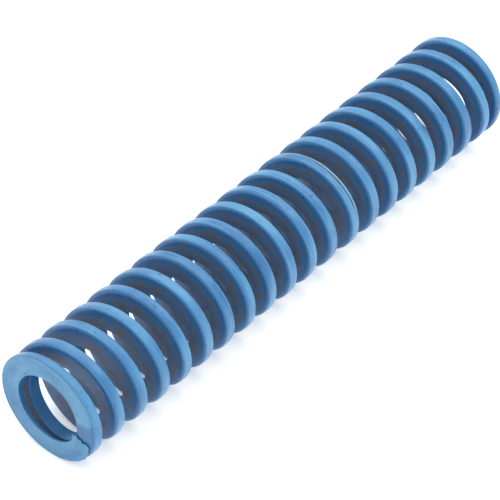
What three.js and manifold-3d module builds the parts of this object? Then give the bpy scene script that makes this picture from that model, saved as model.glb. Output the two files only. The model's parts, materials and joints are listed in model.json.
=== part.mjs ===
// A long compression spring of flat, blue-enamelled wire, with closed and ground ends, lying on its side.
// Millimetres, +Z up. The spring's axis lies along +X, and the origin is on the ground under mid-length.
//
// The real spring is one bent wire. It is divided where it moves: each coil is a rigid piece that slides
// along the axis, and at each end the closed turn and the start of the first open one make a solid ring.

import * as THREE from 'three';
import { mergeVertices } from 'three/addons/utils/BufferGeometryUtils.js';
import Module from 'manifold-3d';

// Driving dimensions of the spring.
const OUTER_DIAMETER = 22;
const BORE_DIAMETER = 13.5;
const FREE_LENGTH = 120;
const WIRE_THICKNESS = 2.5; // along the spring's axis
const TOTAL_TURNS = 21.5;

// The closed ends: the first turn lies against the next, then the winding opens to the working pitch.
const CLOSED_TURNS = 0.95;
const OPENING_TURNS = 0.3; // length of the change from closed winding to working pitch
const CLOSED_GAP = 0.2; // daylight between the closed turn and the next
const TIP_THICKNESS = 0.35; // what grinding leaves of the wire at its very tip
const TIP_ANGLE = THREE.MathUtils.degToRad( - 67.5 ); // place of the first tip around the axis

// Two coils just past mid-length stand a little wider than the rest.
const STRETCH = 1;
const STRETCH_START = 11.5;
const STRETCH_TURNS = 2;

// The division into rigid pieces.
const END_RING_TURNS = 1.75;
const CUT_GAP = 0.3;
const STEPS_PER_TURN = 24;

// Corners of the wire's section.
const OUTER_CORNER = 0.6;
const BORE_CORNER = 0.4;

// Worked out from the dimensions above.
const OUTER_RADIUS = OUTER_DIAMETER / 2;
const BORE_RADIUS = BORE_DIAMETER / 2;
const MEAN_RADIUS = ( OUTER_RADIUS + BORE_RADIUS ) / 2;
const WIRE_WIDTH = OUTER_RADIUS - BORE_RADIUS;
const WORKING_COILS = Math.round( TOTAL_TURNS - 2 * END_RING_TURNS );
const CUT_HALF_ANGLE = CUT_GAP / 2 / MEAN_RADIUS;
// The facets touch the true cylinders with their middles, so the corners between them lie outside.
const FACET_STRETCH = 1 / Math.cos( Math.PI / STEPS_PER_TURN );
const CLOSED_RISE = WIRE_THICKNESS + CLOSED_GAP;
const FIRST_HEIGHT = TIP_THICKNESS - WIRE_THICKNESS / 2;
const PITCH = workingPitch();

const enamel = new THREE.MeshStandardMaterial( { color: 0x5a9fca, roughness: 0.38, metalness: 0.0 } );
const groundEnamel = new THREE.MeshStandardMaterial( { color: 0x6aa5cd, roughness: 0.5, metalness: 0.0 } );

const wasm = await Module();
wasm.setup();

// Area under a smoothstep that climbs from 0 to 1 around the end of the closed turns: the number of turns
// that have been wound at the working pitch by the time the wire reaches this turn.
function openTurns( turn ) {

	const u = THREE.MathUtils.clamp( ( turn - CLOSED_TURNS ) / OPENING_TURNS + 0.5, 0, 1 );
	const past = Math.max( 0, turn - CLOSED_TURNS - OPENING_TURNS / 2 );
	return OPENING_TURNS * ( u ** 3 - u ** 4 / 2 ) + past;

}

// The pitch that brings the middle of the wire to the middle of the spring's length.
function workingPitch() {

	const half = TOTAL_TURNS / 2;
	const missing = FREE_LENGTH / 2 - FIRST_HEIGHT - CLOSED_RISE * half;
	return CLOSED_RISE + missing / ( half - CLOSED_TURNS );

}

function heightFromEnd( turn ) {

	return FIRST_HEIGHT + CLOSED_RISE * turn + ( PITCH - CLOSED_RISE ) * openTurns( turn );

}

// Height of the wire's centre over the first end, along the spring's axis. Both ends are wound alike.
function wireHeight( turn ) {

	const firstHalf = turn <= TOTAL_TURNS / 2;
	const even = firstHalf ? heightFromEnd( turn ) : FREE_LENGTH - heightFromEnd( TOTAL_TURNS - turn );
	const share = THREE.MathUtils.smoothstep( turn, STRETCH_START, STRETCH_START + STRETCH_TURNS );
	return even + STRETCH * ( share - turn / TOTAL_TURNS );

}

// Centre line of a stretch of wire. Its frames stay radial and axial, as a flat wire wound on a mandrel does.
class CoilPath extends THREE.Curve {

	constructor( firstTurn, lastTurn ) {

		super();
		this.firstTurn = firstTurn;
		this.lastTurn = lastTurn;

	}

	// The whole stretch is in even steps, and only its two ends are drawn in by the cut.
	angleAt( t ) {

		const start = 2 * Math.PI * this.firstTurn;
		const end = 2 * Math.PI * this.lastTurn;
		const angle = THREE.MathUtils.lerp( start, end, t );
		return THREE.MathUtils.clamp( angle, start + CUT_HALF_ANGLE, end - CUT_HALF_ANGLE );

	}

	radialAt( t ) {

		const angle = TIP_ANGLE + this.angleAt( t );
		return new THREE.Vector3( Math.cos( angle ), Math.sin( angle ), 0 );

	}

	getPoint( t ) {

		const height = wireHeight( this.angleAt( t ) / ( 2 * Math.PI ) );
		return this.radialAt( t ).multiplyScalar( MEAN_RADIUS * FACET_STRETCH ).setZ( height );

	}

	getPointAt( t ) {

		return this.getPoint( t );

	}

	computeFrenetFrames( segments ) {

		const frames = { tangents: [], normals: [], binormals: [] };

		for ( let i = 0; i <= segments; i ++ ) {

			const radial = this.radialAt( i / segments );
			const down = new THREE.Vector3( 0, 0, - 1 );
			frames.normals.push( radial );
			frames.binormals.push( down );
			frames.tangents.push( down.clone().cross( radial ).negate() );

		}

		return frames;

	}

}

// The wire's section: x runs outwards from the axis and y along it.
function wireSection() {

	const outside = WIRE_WIDTH / 2 * FACET_STRETCH;
	const bore = - outside;
	const half = WIRE_THICKNESS / 2;
	const shape = new THREE.Shape();
	shape.moveTo( bore, - half + BORE_CORNER );
	shape.lineTo( bore + BORE_CORNER, - half );
	shape.lineTo( outside - OUTER_CORNER, - half );
	shape.lineTo( outside, - half + OUTER_CORNER );
	shape.lineTo( outside, half - OUTER_CORNER );
	shape.lineTo( outside - OUTER_CORNER, half );
	shape.lineTo( bore + BORE_CORNER, half );
	shape.lineTo( bore, half - BORE_CORNER );
	return shape;

}

function wireGeometry( firstTurn, lastTurn ) {

	const steps = Math.round( ( lastTurn - firstTurn ) * STEPS_PER_TURN );
	const path = new CoilPath( firstTurn, lastTurn );
	return new THREE.ExtrudeGeometry( wireSection(), { steps, extrudePath: path } );

}

function toSolid( geometry ) {

	const bare = geometry.clone();
	bare.deleteAttribute( 'normal' );
	bare.deleteAttribute( 'uv' );
	const merged = mergeVertices( bare, 1e-4 );
	const vertProperties = new Float32Array( merged.attributes.position.array );
	const triVerts = new Uint32Array( merged.index.array );
	return new wasm.Manifold( new wasm.Mesh( { numProp: 3, vertProperties, triVerts } ) );

}

function toGeometry( solid ) {

	const mesh = solid.getMesh();
	const geometry = new THREE.BufferGeometry();
	geometry.setAttribute( 'position', new THREE.BufferAttribute( mesh.vertProperties, 3 ) );
	geometry.setIndex( new THREE.BufferAttribute( mesh.triVerts, 1 ) );
	geometry.computeVertexNormals();
	return geometry;

}

// The grinding wheels leave only what stands between the two end planes.
function betweenEndPlanes( geometry ) {

	const room = new THREE.BoxGeometry( 2 * OUTER_DIAMETER, 2 * OUTER_DIAMETER, FREE_LENGTH );
	room.translate( 0, 0, FREE_LENGTH / 2 );
	return toGeometry( toSolid( geometry ).intersect( toSolid( room ) ) );

}

function piece( name, geometry, material ) {

	const mesh = new THREE.Mesh( geometry, material );
	mesh.name = name;
	return mesh;

}

function endRing( name, firstTurn, lastTurn ) {

	return piece( name, betweenEndPlanes( wireGeometry( firstTurn, lastTurn ) ), groundEnamel );

}

function workingCoil( number ) {

	const firstTurn = END_RING_TURNS + number - 1;
	const name = 'coil_' + String( number ).padStart( 2, '0' );
	return piece( name, wireGeometry( firstTurn, firstTurn + 1 ), enamel );

}

// The spring is built standing on its first end, then laid down along +X.
const standing = new THREE.Group();
standing.add( endRing( 'front_end_ring', 0, END_RING_TURNS ) );

for ( let number = 1; number <= WORKING_COILS; number ++ ) {

	standing.add( workingCoil( number ) );

}

standing.add( endRing( 'rear_end_ring', TOTAL_TURNS - END_RING_TURNS, TOTAL_TURNS ) );
standing.rotation.y = Math.PI / 2;
standing.position.set( - FREE_LENGTH / 2, 0, OUTER_RADIUS );

const spring = new THREE.Group();
spring.add( standing );

export default spring;
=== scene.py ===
import json
import math
from functools import partial

import bpy
import numpy as np
from mathutils import Matrix, Vector


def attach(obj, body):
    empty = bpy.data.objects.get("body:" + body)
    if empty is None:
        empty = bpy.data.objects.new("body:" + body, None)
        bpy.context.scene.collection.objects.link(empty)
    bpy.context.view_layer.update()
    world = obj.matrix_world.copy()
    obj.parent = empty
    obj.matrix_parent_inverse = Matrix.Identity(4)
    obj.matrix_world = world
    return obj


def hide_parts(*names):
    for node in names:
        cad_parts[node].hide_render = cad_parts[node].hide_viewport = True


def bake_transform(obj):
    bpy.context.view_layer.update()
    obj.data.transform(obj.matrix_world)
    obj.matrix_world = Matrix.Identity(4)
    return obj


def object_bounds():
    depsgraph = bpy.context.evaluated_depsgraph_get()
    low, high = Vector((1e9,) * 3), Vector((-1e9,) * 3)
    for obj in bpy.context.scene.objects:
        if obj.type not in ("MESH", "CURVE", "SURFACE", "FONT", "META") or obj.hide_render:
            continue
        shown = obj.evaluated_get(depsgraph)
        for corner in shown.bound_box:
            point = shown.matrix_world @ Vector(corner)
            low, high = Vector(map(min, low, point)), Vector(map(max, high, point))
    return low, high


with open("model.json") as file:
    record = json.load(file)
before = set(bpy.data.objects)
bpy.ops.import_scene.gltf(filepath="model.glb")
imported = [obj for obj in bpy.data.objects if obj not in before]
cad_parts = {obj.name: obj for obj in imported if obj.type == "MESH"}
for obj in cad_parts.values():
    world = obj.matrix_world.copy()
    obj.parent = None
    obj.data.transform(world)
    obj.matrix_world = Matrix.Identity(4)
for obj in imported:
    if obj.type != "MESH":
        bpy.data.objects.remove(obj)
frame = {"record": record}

# A long die spring lying on its side: flat spring steel wire wound edge on, its two ends closed
# and ground flat, dipped in blue enamel and baked. The axis lies along X, and the front end points
# to -X. Lengths are in metres, and places on the wire are in turns from its front tip.

MM = 0.001
cad_low, cad_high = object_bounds()

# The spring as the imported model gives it.
BODIES = list(frame["record"]["behaviour"]["bodies"])
FREE_LENGTH = cad_high.x - cad_low.x
OUTER_RADIUS = (cad_high.z - cad_low.z) / 2
AXIS_HEIGHT = (cad_high.z + cad_low.z) / 2
FRONT_FACE = cad_low.x
MIDDLE = (cad_low + cad_high) / 2

# The winding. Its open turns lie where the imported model's do, but its closed ends all but touch,
# where the model's solids keep clear of each other, and its bore is a little wider.
BORE_RADIUS = 6.82 * MM
WIRE_THICKNESS = 2.48 * MM  # along the axis
TOTAL_TURNS = 21.5
TIP_ANGLE = math.radians(-67.5)  # place of the front tip around the axis
CLOSED_TURNS = 0.98
OPENING_TURNS = 0.3  # from the closed winding to the working pitch
CLOSED_GAP = 0.04 * MM
TIP_THICKNESS = 0.18 * MM
MEAN_RADIUS = (BORE_RADIUS + OUTER_RADIUS) / 2
CLOSED_RISE = WIRE_THICKNESS + CLOSED_GAP
FIRST_HEIGHT = TIP_THICKNESS - WIRE_THICKNESS / 2

# Two coils past mid-length stand wider than the rest, by this much in all.
STRETCH = 1 * MM
STRETCH_START = 11.5
STRETCH_TURNS = 2

# The wire's section. Its outer corners are drawn out along the flanks, since coiling thins the
# outside of the wire.
OUTER_CORNER = 0.52 * MM
CORNER_STRETCH = 1.4
BORE_CORNER = 0.22 * MM
GROUND_CORNER = 0.22 * MM
RIM_CROWN = 0.06 * MM

# Cropping the wire to length pushed its two tips inwards and tore their edges.
SHEARED_TIP = 0.6 * MM
SHEARED_TURNS = 0.045
TEAR_STEPS = (-1.1, 0.1)  # millimetres along the wire
TEAR_STATIONS = 15
TEAR_FADE = 4 * MM

# The skin wanders a little, and handling has beaten small dents into the rim's two edges.
SKIN_WANDER = 0.02 * MM
NICK_COUNT = 90
NICK_LENGTHS = (0.25, 0.9)  # millimetres
NICK_DEPTHS = (0.02, 0.11)  # millimetres
NICK_SIDE = 0.4 * WIRE_THICKNESS  # from the middle of the rim
NICK_WIDTH = 0.3 * MM

# One coil just past mid-length has been rubbed along the back edge of its rim.
SCUFF_START, SCUFF_END = 12.66, 12.92
SCUFF_FADE = 0.06
GOUGE_AT = 0.36  # millimetres behind the middle of the rim

# The division into pieces: each body of the chain carries a rigid half turn, or the ring at its
# end of the spring, and the half turn between two bodies is a loose piece of its own.
RING_TURNS = 1.5
HALF_TURN = 0.5
STEPS_PER_TURN = 144


def smooth(low, high, value):
    """Smoothstep: 0 below low, 1 above high, and 3 u squared less 2 u cubed between them."""
    u = np.clip((value - low) / (high - low), 0, 1)
    return u * u * (3 - 2 * u)


def open_turns(turn):
    """Turns wound at the working pitch so far: the integral of a smoothstep that is centred on the
    end of the closed turns."""
    u = np.clip((turn - CLOSED_TURNS) / OPENING_TURNS + 0.5, 0, 1)
    past = np.maximum(0, turn - CLOSED_TURNS - OPENING_TURNS / 2)
    return OPENING_TURNS * (u ** 3 - u ** 4 / 2) + past


def wire_height(turn):
    """Distance of the wire's centre from the front face: a closed winding that opens to the
    working pitch, mirrored at mid-length, plus a smoothstep that lets two coils stand wider."""
    half = TOTAL_TURNS / 2
    missing = FREE_LENGTH / 2 - FIRST_HEIGHT - CLOSED_RISE * half
    pitch_gain = missing / (half - CLOSED_TURNS)
    near = np.minimum(turn, TOTAL_TURNS - turn)
    rise = FIRST_HEIGHT + CLOSED_RISE * near + pitch_gain * open_turns(near)
    even = np.where(turn <= half, rise, FREE_LENGTH - rise)
    wider = smooth(STRETCH_START, STRETCH_START + STRETCH_TURNS, turn) - turn / TOTAL_TURNS
    return even + STRETCH * wider


# Shares of the way along each stretch of half a section, from the middle of the bore face to the
# middle of the rim. Points crowd towards the corners, so that shading stays crisp there.
BORE_SHARES = np.array([0.08, 0.4, 0.75, 0.97])
CORNER_SHARES = np.linspace(0, 1, 8)
FLANK_SHARES = np.array([0.02, 0.09, 0.2, 0.33, 0.46, 0.6, 0.73, 0.85, 0.94, 0.985])
RIM_SHARES = np.array([0.05, 0.3, 0.6, 0.88])


def half_section(reach, middle, outer_corner, bore_corner):
    """One side of the section, as radius and distance towards that side. The bore face runs out
    from the middle, a quarter circle turns into the flank, a quarter ellipse into the rim, and the
    rim runs back."""
    reach, middle = reach[:, None], middle[:, None]
    outer_corner, bore_corner = outer_corner[:, None], bore_corner[:, None]
    corner_width = CORNER_STRETCH * outer_corner
    start, end = BORE_RADIUS + bore_corner, OUTER_RADIUS - corner_width
    turning = CORNER_SHARES[None] * math.pi / 2
    radius = np.concatenate([
        BORE_RADIUS + 0 * reach * BORE_SHARES[None],
        start - bore_corner * np.cos(turning),
        start + (end - start) * FLANK_SHARES[None],
        end + corner_width * np.sin(turning),
        OUTER_RADIUS + 0 * reach * RIM_SHARES[None],
    ], axis=1)
    side = np.concatenate([
        middle + (reach - bore_corner - middle) * BORE_SHARES[None],
        reach - bore_corner + bore_corner * np.sin(turning),
        reach + 0 * FLANK_SHARES[None],
        reach - outer_corner + outer_corner * np.cos(turning),
        reach - outer_corner + (middle - reach + outer_corner) * RIM_SHARES[None],
    ], axis=1)
    return radius, side


def section(turn):
    """The whole section at each turn, as radius and axial distance from the wire's centre. The
    grinding planes cut both sides, and the corners shrink as the grinding eats into them."""
    height = wire_height(turn)
    half = WIRE_THICKNESS / 2 + 0 * turn
    front = np.minimum(half, height)
    back = np.minimum(half, FREE_LENGTH - height)
    wanted = np.stack([
        np.maximum(OUTER_CORNER - (half - front), GROUND_CORNER),
        np.maximum(OUTER_CORNER - (half - back), GROUND_CORNER),
    ])
    most = 0.98 * (front + back)
    outer = np.minimum(wanted, most * wanted / wanted.sum(0))
    bore = np.minimum(outer, BORE_CORNER)
    middle = (back - front + outer[0] - outer[1]) / 2
    front_radius, front_side = half_section(front, -middle, outer[0], bore[0])
    back_radius, back_side = half_section(back, middle, outer[1], bore[1])
    radius = np.concatenate([front_radius, back_radius[:, ::-1]], axis=1)
    axial = np.concatenate([-front_side, back_side[:, ::-1]], axis=1)
    crown = RIM_CROWN * smooth(0.55, 1, (radius - BORE_RADIUS) / (OUTER_RADIUS - BORE_RADIUS))
    radius = radius - crown * np.minimum(1, (2 * axial / WIRE_THICKNESS) ** 2)
    return radius, axial


def ragged_tip(turn, radius):
    """How far, in turns, the wire's two end edges are torn along it: seeded steps across the
    wire's width, which fade out along the wire."""
    chance = np.random.default_rng(7)
    stations = np.linspace(BORE_RADIUS, OUTER_RADIUS, TEAR_STATIONS)
    steps = chance.uniform(*TEAR_STEPS, (2, TEAR_STATIONS)) * MM
    run = 2 * math.pi * MEAN_RADIUS
    at_front = 1 - smooth(0, TEAR_FADE, turn * run)
    at_rear = 1 - smooth(0, TEAR_FADE, (TOTAL_TURNS - turn) * run)
    front_tear = np.interp(radius, stations, steps[0]) * at_front
    rear_tear = np.interp(radius, stations, -steps[1]) * at_rear
    return (front_tear + rear_tear) / run


def waver(turn, seed):
    """A slow seeded wander between about -1 and 1: the sum of six sines along the wire, each
    shorter and weaker than the last."""
    chance = np.random.default_rng(seed)
    total = 0 * turn
    for order in range(6):
        phase = chance.uniform(0, 2 * math.pi)
        pace = 0.6 * 1.7 ** order * chance.uniform(0.9, 1.1)
        total = total + np.sin(2 * math.pi * pace * turn + phase) / (1 + 0.6 * order)
    return total / 3


def nicks(turn, radius, axial):
    """Depth of the dents in the rim's edges: a sum of seeded bumps, each e to the minus squared
    distance over its size, along the wire and across it."""
    chance = np.random.default_rng(11)
    run = 2 * math.pi * OUTER_RADIUS
    places = chance.uniform(0.1, TOTAL_TURNS - 0.1, NICK_COUNT)
    lengths = chance.uniform(*NICK_LENGTHS, NICK_COUNT) * MM
    depths = chance.uniform(*NICK_DEPTHS, NICK_COUNT) * MM
    sides = chance.choice([-1, 1], NICK_COUNT)
    along = ((turn[:, None] - places) * run / lengths) ** 2
    dents = np.exp(-np.minimum(along, 40)) * depths
    front = (dents @ (sides < 0))[:, None]
    back = (dents @ (sides > 0))[:, None]
    edge = smooth(OUTER_RADIUS - 1.2 * MM, OUTER_RADIUS, radius)
    near_front = np.exp(-((axial + NICK_SIDE) / NICK_WIDTH) ** 2)
    near_back = np.exp(-((axial - NICK_SIDE) / NICK_WIDTH) ** 2)
    return edge * (front * near_front + back * near_back)


def wire_points(turn):
    """The wire's skin on a grid of turns by section points. Radius and height turn about the
    spring's axis: y is radius times the sine of the angle, and z the axis height less radius times
    its cosine."""
    radius, axial = section(turn)
    place = turn[:, None] + ragged_tip(turn[:, None], radius)
    height = wire_height(turn)[:, None] + axial
    angle = TIP_ANGLE + 2 * math.pi * place
    inset = SKIN_WANDER * (1 + waver(turn, 3))[:, None]
    share = (radius - BORE_RADIUS) / (OUTER_RADIUS - BORE_RADIUS)
    from_end = np.minimum(turn, TOTAL_TURNS - turn)[:, None]
    sheared = SHEARED_TIP * (1 - smooth(0, SHEARED_TURNS, from_end))
    skin_radius = radius - inset * share - nicks(turn, radius, axial) - sheared
    points = np.stack([
        FRONT_FACE + height,
        skin_radius * np.sin(angle),
        AXIS_HEIGHT - skin_radius * np.cos(angle),
    ], axis=-1)
    return points, radius, axial


def skin_normals(points):
    """Normals of a grid that closes on itself across the section: the mean of the faces that meet
    at each point, weighted by their areas, each face's normal being the cross product of its
    diagonals."""
    across = np.roll(points, -1, axis=1)
    faces = np.cross(across[1:] - points[:-1], across[:-1] - points[1:])
    faces = np.concatenate([faces[:1], faces, faces[-1:]])
    total = faces[:-1] + faces[1:]
    total = total + np.roll(total, 1, axis=1)
    return total / np.linalg.norm(total, axis=-1, keepdims=True)


def wire_quads(rows, columns):
    """Quads over the grid, which closes on itself across the section, and a strip of quads over
    each of its ends, which joins the front half of the section to the back half."""
    index = np.arange(rows * columns).reshape(rows, columns)
    beside = np.roll(index, -1, axis=1)
    skin = np.stack([index[:-1], index[1:], beside[1:], beside[:-1]], axis=-1).reshape(-1, 4)
    half = columns // 2
    front, back = index[:, :half], index[:, :half - 1:-1]
    strips = np.stack([front[:, :-1], front[:, 1:], back[:, 1:], back[:, :-1]], axis=-1)
    return skin, strips[0], strips[-1][:, ::-1]


def paint_marks(turn, radius, axial, facing):
    """Where each part of the finish, and of the painted shade and highlight, lies, from 0 to 1:
    products of smoothsteps of the place across the section, of the turns from the wire's ends, and
    of how squarely the skin faces the axis."""
    columns = radius.shape[1]
    on_front = np.arange(columns)[None] < columns // 2
    turn = turn[:, None]
    height = wire_height(turn)
    from_end = np.minimum(turn, TOTAL_TURNS - turn)
    turns_in = np.where(on_front, turn, TOTAL_TURNS - turn)
    share = (OUTER_RADIUS - radius) / (OUTER_RADIUS - BORE_RADIUS)  # 0 on the rim, 1 on the bore

    ground_off = WIRE_THICKNESS / 2 - np.where(on_front, height, FREE_LENGTH - height)
    ground = smooth(0, 0.08 * MM, ground_off) * smooth(0.75, 0.97, facing)
    on_bore = smooth(0.75, 0.97, share)
    # The flanks and bore, where the shader paints a deeper blue as shade between the coils.
    flank = np.maximum(smooth(0.35, 0.9, facing), on_bore) * (1 - ground)
    # The end rings' outer faces and bores are thickly painted, and the coils between them thinly.
    open_flank = smooth(1.0, 1.2, turns_in)
    open_bore = smooth(1.6, 2.4, from_end)
    opened = open_flank + on_bore * (open_bore - open_flank)

    rim = (1 - smooth(0.12, 0.16, share)) * (1 - ground)
    # Near the rim's edges, most on the back edge: where the chips fall and the highlight is
    # painted.
    near_edge = np.exp(-((np.abs(axial) - 0.43 * WIRE_THICKNESS) / (0.22 * MM)) ** 2)
    back_edge_more = np.where(axial > 0, 1, 0.35)
    near_ring = (1 - smooth(0.6, 1.0, turns_in)) * (1 - smooth(1.0, 1.4, from_end))
    # The tip's own edge, and the turn behind it where that edge lies.
    tear_at = np.where(from_end > 0.5, 0.985, 0.004)
    torn = np.exp(-np.abs(from_end % 1 - tear_at) / 0.007) * (from_end < 1.03)
    rubbed_in = smooth(SCUFF_START, SCUFF_START + SCUFF_FADE, turn)
    rubbed_out = 1 - smooth(SCUFF_END - SCUFF_FADE, SCUFF_END, turn)
    return {
        "flank": flank,
        "thin_paint": flank * smooth(0.03, 0.65, share) * opened,
        "ground_face": ground,
        "rim_edge": rim * near_edge * back_edge_more,
        "end_rim": rim * near_ring,
        "torn_edge": torn * facing,
        "scuff": rubbed_in * rubbed_out * rim,
    }


def add_attribute(mesh, label, kind, field, values):
    """Writes one attribute of the points from a whole array."""
    attribute = mesh.attributes.new(label, kind, "POINT")
    attribute.data.foreach_set(field, values.astype(np.float32).ravel())


def wire_mesh(name, first, last):
    """A closed stretch of wire between two turns. Its seams carry the whole wire's normals, which
    come from a grid one step longer at each cut end."""
    steps = round((last - first) * STEPS_PER_TURN)
    step = (last - first) / steps
    turn = np.linspace(first, last, steps + 1)
    lead, tail = first > 0, last < TOTAL_TURNS
    longer = np.concatenate([[first - step] * lead, turn, [last + step] * tail])
    points, radius, axial = wire_points(longer)
    normals = skin_normals(points)
    keep = slice(int(lead), len(longer) - int(tail))
    points, normals, radius, axial = points[keep], normals[keep], radius[keep], axial[keep]
    skin, first_end, last_end = wire_quads(*radius.shape)
    quads = np.concatenate([skin, first_end, last_end])

    mesh = bpy.data.meshes.new(name)
    mesh.vertices.add(radius.size)
    mesh.vertices.foreach_set("co", points.astype(np.float32).ravel())
    mesh.loops.add(quads.size)
    mesh.loops.foreach_set("vertex_index", quads.astype(np.int32).ravel())
    mesh.polygons.add(len(quads))
    mesh.polygons.foreach_set("loop_start", np.arange(0, quads.size, 4, dtype=np.int32))
    mesh.update(calc_edges=True)

    corner_normals = normals.reshape(-1, 3)[quads]
    angles = TIP_ANGLE + 2 * math.pi * np.array([first, last])
    along = np.stack([0 * angles, np.cos(angles), np.sin(angles)], axis=-1)
    corner_normals[len(skin):-len(last_end)] = -along[0]
    corner_normals[-len(last_end):] = along[1]
    mesh.normals_split_custom_set(corner_normals.reshape(-1, 3).astype(np.float32))

    run = np.broadcast_to((turn * 2 * math.pi * MEAN_RADIUS)[:, None], radius.shape)
    place = np.stack([run, radius - MEAN_RADIUS, axial], axis=-1)
    add_attribute(mesh, "wire_place", "FLOAT_VECTOR", "vector", place)
    for label, values in paint_marks(turn, radius, axial, np.abs(normals[..., 0])).items():
        add_attribute(mesh, label, "FLOAT", "value", values)
    return mesh


def linear(hex_colour):
    """An sRGB hex colour as a linear RGBA tuple: each part divided by 12.92 if it is small, and
    otherwise raised to 2.4 after its offset of 0.055."""
    parts = [int(hex_colour[i:i + 2], 16) / 255 for i in (1, 3, 5)]
    return (*[p / 12.92 if p <= 0.04045 else ((p + 0.055) / 1.055) ** 2.4 for p in parts], 1)


def add_node(tree, kind, inputs=(), **settings):
    """Adds one node. Each input takes its value, or a link where the value is a socket or another
    node, which gives the first output that is in use."""
    node = tree.nodes.new(kind)
    for key, value in settings.items():
        setattr(node, key, value)
    for key, value in dict(inputs).items():
        if isinstance(value, bpy.types.Node):
            value = next(socket for socket in value.outputs if socket.enabled)
        if isinstance(value, bpy.types.NodeSocket):
            tree.links.new(value, node.inputs[key])
        else:
            node.inputs[key].default_value = value
    return node


# Baked enamel, about 0.05 mm thick, over oil-tempered spring steel. It lies thick and even on the
# rim, which is a satin mid blue, and thins towards the bore, where the steel's brown and grey
# scale shows through. A deeper blue on the flanks and bore is painted shade between the coils, a
# pale line along the rim's edges is a painted highlight, and the ground faces are chalkier.
ENAMEL = linear("#27699E")
ENAMEL_PALE = linear("#4788B2")
# Deep blue, for the rim's dark lines and for the painted shade between the coils.
ENAMEL_DEEP_AND_FLANK_SHADE = linear("#1D598B")
THIN_ENAMEL = linear("#43678C")
SCALE_BROWN = linear("#595B67")
# Pale blue, for the rubbed coil's lip and for the painted highlight along the rim's edges.
WORN_PALE_AND_EDGE_HIGHLIGHT = linear("#7FA6B8")
CHIPPED_STEEL = linear("#22272D")
GROUND_ENAMEL = linear("#39719B")
GROUND_PALE = linear("#4F85AA")
ENAMEL_IOR = 1.47
SMOOTHEST, ROUGHEST = 0.28, 0.4  # across the fine peel of the rim's enamel
ROUGHER = 0.15  # added where the enamel is thin or ground
RELIEF_DEPTH = 0.06 * MM

# Each pattern's grain along, across and through the wire in millimetres, its detail and roughness.
# Dipping leaves clouds about 9 mm long and a peel a little under 1 mm across. Real drawing lines
# lie some 0.1 mm apart, and are three to four times as coarse here, so that they show.
CLOUDS = ((9, 3, 3), 3.0, 0.5)
DRAWN_LINES = ((14, 0.45, 0.3), 2.0, 0.5)
ORANGE_PEEL = ((0.9, 0.8, 0.8), 1.0, 0.5)
MOTTLE = ((3.2, 1.1, 1.1), 4.0, 0.6)
SPECKS = ((1.1, 0.45, 0.45), 2.0, 0.6)

COLOUR_MIX = {"data_type": "RGBA"}
SMOOTHLY = {"interpolation_type": "SMOOTHSTEP"}


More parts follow.
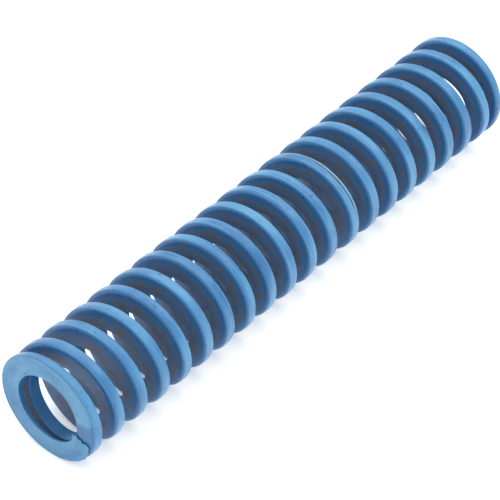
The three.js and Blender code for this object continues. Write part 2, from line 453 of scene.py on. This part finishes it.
def enamelled_wire(name, has_ground_face):
    """The finish of a stretch of wire, with painted shade on its flanks and bore and a painted
    highlight along its rim's edges. Its patterns are laid out along the wire, so they run on from
    piece to piece and move with it."""
    material = bpy.data.materials.new(name)
    material.use_nodes = True
    tree = material.node_tree
    tree.nodes.clear()
    add = partial(add_node, tree)

    place = add("ShaderNodeAttribute", attribute_name="wire_place").outputs["Vector"]
    marks = {label: add("ShaderNodeAttribute", attribute_name=label).outputs["Fac"]
             for label in ("flank", "thin_paint", "rim_edge", "torn_edge", "scuff")}
    clouds, lines, peel, mottle, specks = [
        add("ShaderNodeTexNoise", {
            "Vector": add("ShaderNodeVectorMath", {
                0: place, 1: [1000 / size for size in grain]}, operation="MULTIPLY"),
            "Scale": 1.0, "Detail": detail, "Roughness": roughness})
        for grain, detail, roughness in (CLOUDS, DRAWN_LINES, ORANGE_PEEL, MOTTLE, SPECKS)]

    # The rim: cloudy blue with fine lines from drawing the wire, and a pale painted highlight
    # along its edges, strongest on the back edge.
    cloudy = add("ShaderNodeMapRange", {
        "Value": clouds, "From Min": 0.35, "From Max": 0.7}, **SMOOTHLY)
    film = add("ShaderNodeMix", {0: cloudy, 6: ENAMEL, 7: ENAMEL_PALE}, **COLOUR_MIX)
    pale_lines = add("ShaderNodeMapRange", {
        "Value": lines, "From Min": 0.5, "From Max": 0.7, "To Max": 0.7}, **SMOOTHLY)
    film = add("ShaderNodeMix", {0: pale_lines, 6: film, 7: ENAMEL_PALE}, **COLOUR_MIX)
    deep_lines = add("ShaderNodeMapRange", {
        "Value": lines, "From Min": 0.5, "From Max": 0.3, "To Max": 0.5}, **SMOOTHLY)
    film = add("ShaderNodeMix", {0: deep_lines, 6: film, 7: ENAMEL_DEEP_AND_FLANK_SHADE}, **COLOUR_MIX)
    # Painted highlight: pale blue along the rim's edges, broken up by the lines.
    edge_highlight_breakup = add("ShaderNodeMapRange", {
        "Value": lines, "From Min": 0.42, "From Max": 0.6,
        "To Min": 0.15, "To Max": 0.6}, **SMOOTHLY)
    edge_highlight = add("ShaderNodeMath", {0: marks["rim_edge"], 1: edge_highlight_breakup}, operation="MULTIPLY")
    film = add("ShaderNodeMix", {0: edge_highlight, 6: film, 7: WORN_PALE_AND_EDGE_HIGHLIGHT}, **COLOUR_MIX)

    # The flanks and bore: a deeper blue painted on as shade between the coils, and enamel that
    # thins in patches to the steel's scale.
    flank_shade = add("ShaderNodeMath", {0: marks["flank"], 1: 0.9}, operation="MULTIPLY")
    film = add("ShaderNodeMix", {0: flank_shade, 6: film, 7: ENAMEL_DEEP_AND_FLANK_SHADE}, **COLOUR_MIX)
    scaly = add("ShaderNodeMapRange", {
        "Value": mottle, "From Min": 0.42, "From Max": 0.62}, **SMOOTHLY)
    steel = add("ShaderNodeMix", {0: scaly, 6: THIN_ENAMEL, 7: SCALE_BROWN}, **COLOUR_MIX)
    uneven = add("ShaderNodeMath", {0: mottle, 1: 0.5}, operation="SUBTRACT")
    patchy = add("ShaderNodeMath", {
        0: uneven, 1: 0.9, 2: marks["thin_paint"]}, operation="MULTIPLY_ADD")
    through = add("ShaderNodeMapRange", {
        "Value": patchy, "From Min": 0.05, "From Max": 0.95}, **SMOOTHLY)
    thin = add("ShaderNodeMapRange", {
        "Value": marks["thin_paint"], "From Min": 0.0, "From Max": 0.4}, **SMOOTHLY)
    bare = add("ShaderNodeMath", {0: through, 1: thin}, operation="MULTIPLY")
    film = add("ShaderNodeMix", {0: bare, 6: film, 7: steel}, **COLOUR_MIX)

    # The rubbed coil: a wandering, broken gouge down to the steel, and a pale lip behind it.
    axial = add("ShaderNodeSeparateXYZ", {0: place}).outputs["Z"]
    behind = add("ShaderNodeMath", {0: axial, 1: 1000}, operation="MULTIPLY")
    lip_here = add("ShaderNodeMapRange", {
        "Value": behind, "From Min": GOUGE_AT + 0.2, "From Max": GOUGE_AT + 0.35,
        "To Max": 0.75}, **SMOOTHLY)
    lip = add("ShaderNodeMath", {0: marks["scuff"], 1: lip_here}, operation="MULTIPLY")
    film = add("ShaderNodeMix", {0: lip, 6: film, 7: WORN_PALE_AND_EDGE_HIGHLIGHT}, **COLOUR_MIX)
    wandering = add("ShaderNodeMath", {0: uneven, 1: 0.8, 2: behind}, operation="MULTIPLY_ADD")
    beside = add("ShaderNodeMath", {0: wandering, 1: GOUGE_AT}, operation="SUBTRACT")
    distance = add("ShaderNodeMath", {0: beside}, operation="ABSOLUTE")
    in_gouge = add("ShaderNodeMapRange", {
        "Value": distance, "From Min": 0.24, "From Max": 0.1}, **SMOOTHLY)
    broken = add("ShaderNodeMapRange", {
        "Value": specks, "From Min": 0.36, "From Max": 0.5}, **SMOOTHLY)
    gouge = add("ShaderNodeMath", {0: in_gouge, 1: broken}, operation="MULTIPLY")
    gouge = add("ShaderNodeMath", {0: marks["scuff"], 1: gouge}, operation="MULTIPLY")

    # Small chips to the steel, most of them on the edges.
    knocked = add("ShaderNodeMath", {
        0: marks["torn_edge"], 1: 0.13, 2: specks}, operation="MULTIPLY_ADD")
    knocked = add("ShaderNodeMath", {
        0: marks["rim_edge"], 1: 0.07, 2: knocked}, operation="MULTIPLY_ADD")
    chips = add("ShaderNodeMapRange", {
        "Value": knocked, "From Min": 0.68, "From Max": 0.72}, **SMOOTHLY)
    chips = add("ShaderNodeMath", {0: chips, 1: gouge}, operation="MAXIMUM")
    chips = add("ShaderNodeMath", {0: chips, 1: 0.8}, operation="MULTIPLY")
    film = add("ShaderNodeMix", {0: chips, 6: film, 7: CHIPPED_STEEL}, **COLOUR_MIX)

    gloss = add("ShaderNodeMapRange", {
        "Value": peel, "From Min": 0.3, "From Max": 0.7,
        "To Min": SMOOTHEST, "To Max": ROUGHEST}, **SMOOTHLY)
    gloss = add("ShaderNodeMath", {0: bare, 1: ROUGHER, 2: gloss}, operation="MULTIPLY_ADD")

    if has_ground_face:
        # The ground face and the rim beside it: chalkier, cloudy and a little greyer.
        end_rim, ground = [add("ShaderNodeAttribute", attribute_name=label).outputs["Fac"]
                           for label in ("end_rim", "ground_face")]
        dulled = add("ShaderNodeMath", {0: end_rim, 1: 0.7}, operation="MULTIPLY")
        film = add("ShaderNodeMix", {0: dulled, 6: film, 7: GROUND_ENAMEL}, **COLOUR_MIX)
        clouded = add("ShaderNodeMath", {0: mottle, 1: 0.5, 2: clouds}, operation="MULTIPLY_ADD")
        clouded = add("ShaderNodeMapRange", {
            "Value": clouded, "From Min": 0.55, "From Max": 1.0}, **SMOOTHLY)
        chalk = add("ShaderNodeMix", {0: clouded, 6: GROUND_ENAMEL, 7: GROUND_PALE}, **COLOUR_MIX)
        chalk = add("ShaderNodeMix", {0: chips, 6: chalk, 7: CHIPPED_STEEL}, **COLOUR_MIX)
        film = add("ShaderNodeMix", {0: ground, 6: film, 7: chalk}, **COLOUR_MIX)
        gloss = add("ShaderNodeMath", {0: ground, 1: ROUGHER, 2: gloss}, operation="MULTIPLY_ADD")

    relief = add("ShaderNodeMath", {0: lines, 1: 0.5}, operation="MULTIPLY")
    relief = add("ShaderNodeMath", {0: peel, 1: 0.35, 2: relief}, operation="MULTIPLY_ADD")
    relief = add("ShaderNodeMath", {0: relief, 1: chips}, operation="SUBTRACT")
    bump = add("ShaderNodeBump", {"Strength": 0.6, "Distance": RELIEF_DEPTH, "Height": relief})
    shader = add("ShaderNodeBsdfPrincipled", {
        "Base Color": film, "Roughness": gloss, "Normal": bump, "IOR": ENAMEL_IOR})
    add("ShaderNodeOutputMaterial", {"Surface": shader})
    return material


coil_enamel = enamelled_wire("baked_blue_enamel_on_spring_wire", False)
ring_enamel = enamelled_wire("baked_blue_enamel_on_ground_end", True)


def wire_piece(name, first, last, material):
    """A named piece of the wire between two turns, with its finish."""
    mesh = wire_mesh(name, first, last)
    mesh.materials.append(material)
    piece = bpy.data.objects.new(name, mesh)
    bpy.context.scene.collection.objects.link(piece)
    return piece


front_ring = wire_piece("front_ring_wire", 0, RING_TURNS, ring_enamel)
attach(front_ring, BODIES[0])
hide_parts(BODIES[0])

for number, body in enumerate(BODIES[1:-1], 1):
    last = RING_TURNS + number
    coil = wire_piece(f"{body}_wire", last - HALF_TURN, last, coil_enamel)
    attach(coil, body)
    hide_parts(body)

for number, (before, after) in enumerate(zip(BODIES, BODIES[1:])):
    first = RING_TURNS + number
    bend = wire_piece(f"gap_{number + 1:02d}_wire", first, first + HALF_TURN, coil_enamel)
    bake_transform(bend)

rear_ring = wire_piece("rear_ring_wire", TOTAL_TURNS - RING_TURNS, TOTAL_TURNS, ring_enamel)
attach(rear_ring, BODIES[-1])
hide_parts(BODIES[-1])


# A plain white table that glows faintly, so that shadows on it stay light.
FLOOR_RADIUS = 3.0
FLOOR_SIDES = 96
TABLE_GLOW = 0.28
around = np.linspace(0, 2 * math.pi, FLOOR_SIDES, endpoint=False)
disc = np.stack([
    FLOOR_RADIUS * np.cos(around), FLOOR_RADIUS * np.sin(around), 0 * around + cad_low.z,
], axis=-1)
floor_mesh = bpy.data.meshes.new("floor")
floor_mesh.from_pydata(disc.tolist(), [], [list(range(FLOOR_SIDES))])
floor = bpy.data.objects.new("floor", floor_mesh)
bpy.context.scene.collection.objects.link(floor)
table_white = bpy.data.materials.new("matt_white_light_table")
table_white.use_nodes = True
table_inputs = table_white.node_tree.nodes["Principled BSDF"].inputs
table_inputs["Base Color"].default_value = linear("#F7F7F7")
table_inputs["Roughness"].default_value = 0.9
table_inputs["Specular IOR Level"].default_value = 0.2
table_inputs["Emission Color"].default_value = (1, 1, 1, 1)
table_inputs["Emission Strength"].default_value = TABLE_GLOW
floor_mesh.materials.append(table_white)

DOME_STRENGTH = 1.22
world = bpy.data.worlds.new("white_dome")
world.use_nodes = True
world.node_tree.nodes["Background"].inputs["Color"].default_value = (1, 1, 1, 1)
world.node_tree.nodes["Background"].inputs["Strength"].default_value = DOME_STRENGTH
bpy.context.scene.world = world


def direction(azimuth, elevation):
    """Unit vector towards a place at that azimuth, measured from +X towards +Y, and elevation."""
    a, e = math.radians(azimuth), math.radians(elevation)
    return Vector((math.cos(a) * math.cos(e), math.sin(a) * math.cos(e), math.sin(e)))


LIGHT_DISTANCE = 0.9


def soft_light(name, azimuth, elevation, size, power):
    """A round area light of that size, turned to the spring's middle."""
    lamp = bpy.data.lights.new(name, "AREA")
    lamp.shape, lamp.size, lamp.energy = "DISK", size, power
    light = bpy.data.objects.new(name, lamp)
    light.location = MIDDLE + LIGHT_DISTANCE * direction(azimuth, elevation)
    light.rotation_euler = (MIDDLE - light.location).to_track_quat("-Z", "Y").to_euler()
    bpy.context.scene.collection.objects.link(light)


# The key stands behind on the left, and the second light, off to the right, lays a sheen on the
# rims.
soft_light("soft_key", 40, 65, 0.9, 3.0)
soft_light("rim_sheen", -31, 47, 0.45, 1.2)

# A long lens looks down past the front end from the left, aimed a little beside the middle.
CAMERA_AZIMUTH, CAMERA_ELEVATION = 217.985, 41.961
CAMERA_DISTANCE = 0.48635
CAMERA_ROLL = 1.835
CAMERA_LENS, SENSOR_WIDTH = 187.2, 36
AIM_LEFT, AIM_DOWN = 2.97 * MM, 2.89 * MM
camera_data = bpy.data.cameras.new("camera")
camera_data.sensor_width = SENSOR_WIDTH
camera_data.lens = CAMERA_LENS
camera_data.clip_start, camera_data.clip_end = 0.01, 50
camera = bpy.data.objects.new("camera", camera_data)
towards = direction(CAMERA_AZIMUTH, CAMERA_ELEVATION)
right = Vector((0, 0, 1)).cross(towards).normalized()
upwards = towards.cross(right)
camera.location = MIDDLE + CAMERA_DISTANCE * towards
aim = MIDDLE - AIM_LEFT * right - AIM_DOWN * upwards
looking = (aim - camera.location).to_track_quat("-Z", "Y").to_matrix()
rolled = looking @ Matrix.Rotation(math.radians(CAMERA_ROLL), 3, "Z")
camera.rotation_euler = rolled.to_euler()
bpy.context.scene.collection.objects.link(camera)
bpy.context.scene.camera = camera

view = bpy.context.scene.view_settings
view.view_transform = "Standard"
view.look = "None"
